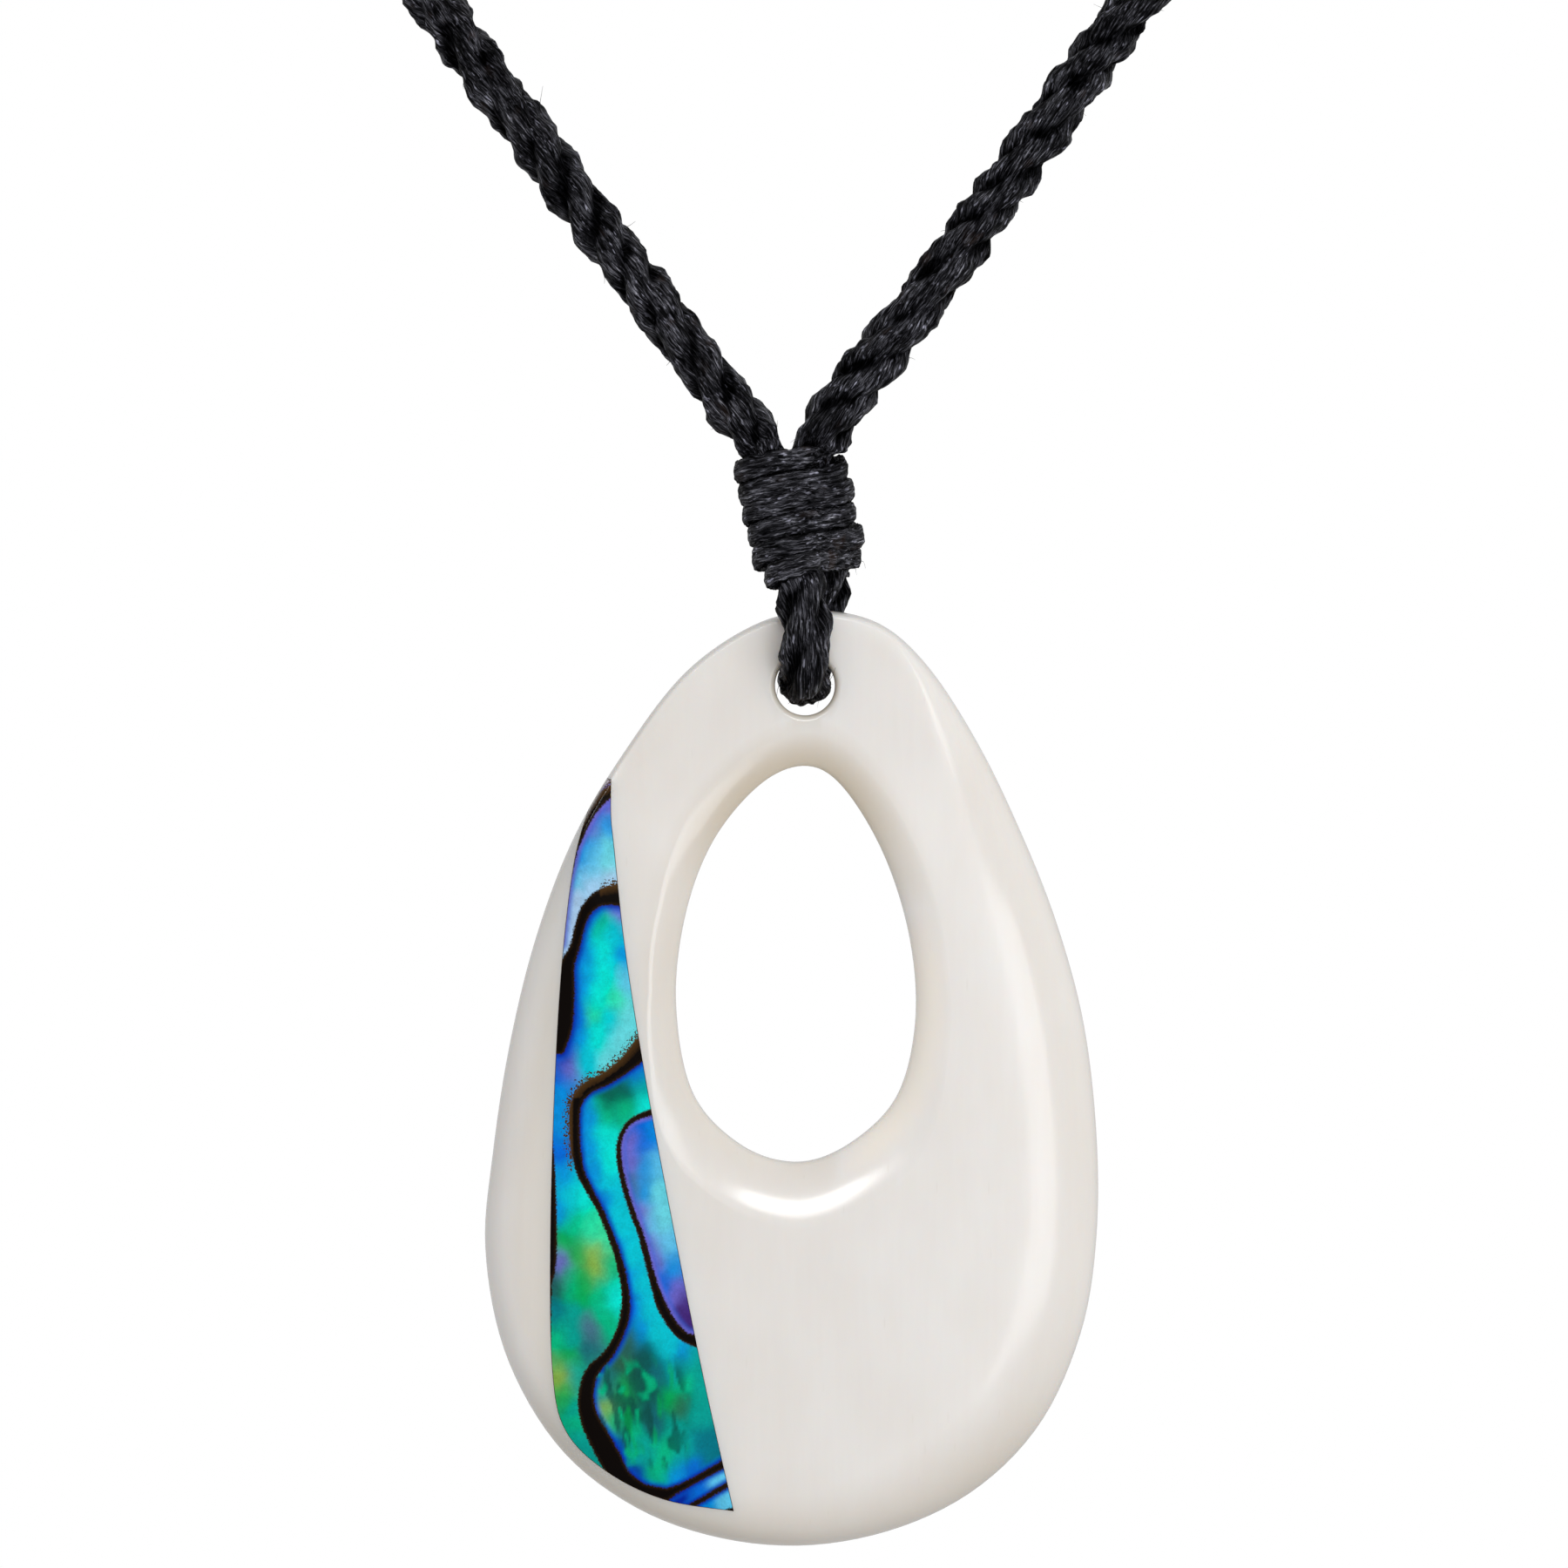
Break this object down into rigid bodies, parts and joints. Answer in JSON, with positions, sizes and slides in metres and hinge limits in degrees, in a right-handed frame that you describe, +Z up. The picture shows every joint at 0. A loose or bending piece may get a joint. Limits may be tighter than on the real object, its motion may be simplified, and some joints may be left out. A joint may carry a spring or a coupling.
{
  "type": "bone pendant necklace",
  "caption": "Worn necklace: a flat bone drop with an eye and an iridescent shell inlay, lashed to a laid cotton cord that closes at the nape in a whipping.",
  "frame": {"origin": "where the whipping of the neck cord rests on the nape of the neck", "axes": "+Z up, along the necklace's height; the front of the drop faces -Y; +X is to the right as seen from the front"},
  "size_m": [0.1247, 0.1243, 0.197],
  "materials": {
    "bone": "polished bone, satin gloss",
    "shell": "polished iridescent abalone shell",
    "cord": "waxed three-strand cotton cord",
    "thread": "waxed twisted thread"
  },
  "bodies": {
    "loop": {"neck_cord": "cord", "lashing": "thread", "nape_whipping": "thread"},
    "drop": {"bone_pendant": "bone", "shell_inlay": "shell"}
  },
  "joints": [
    {"name": "drop_swing", "type": "hinge", "parent": "loop", "child": "drop", "pos_m": [0, -0.114, -0.148], "axis": [0, 1, 0], "range_deg": [-30, 30]}
  ]
}
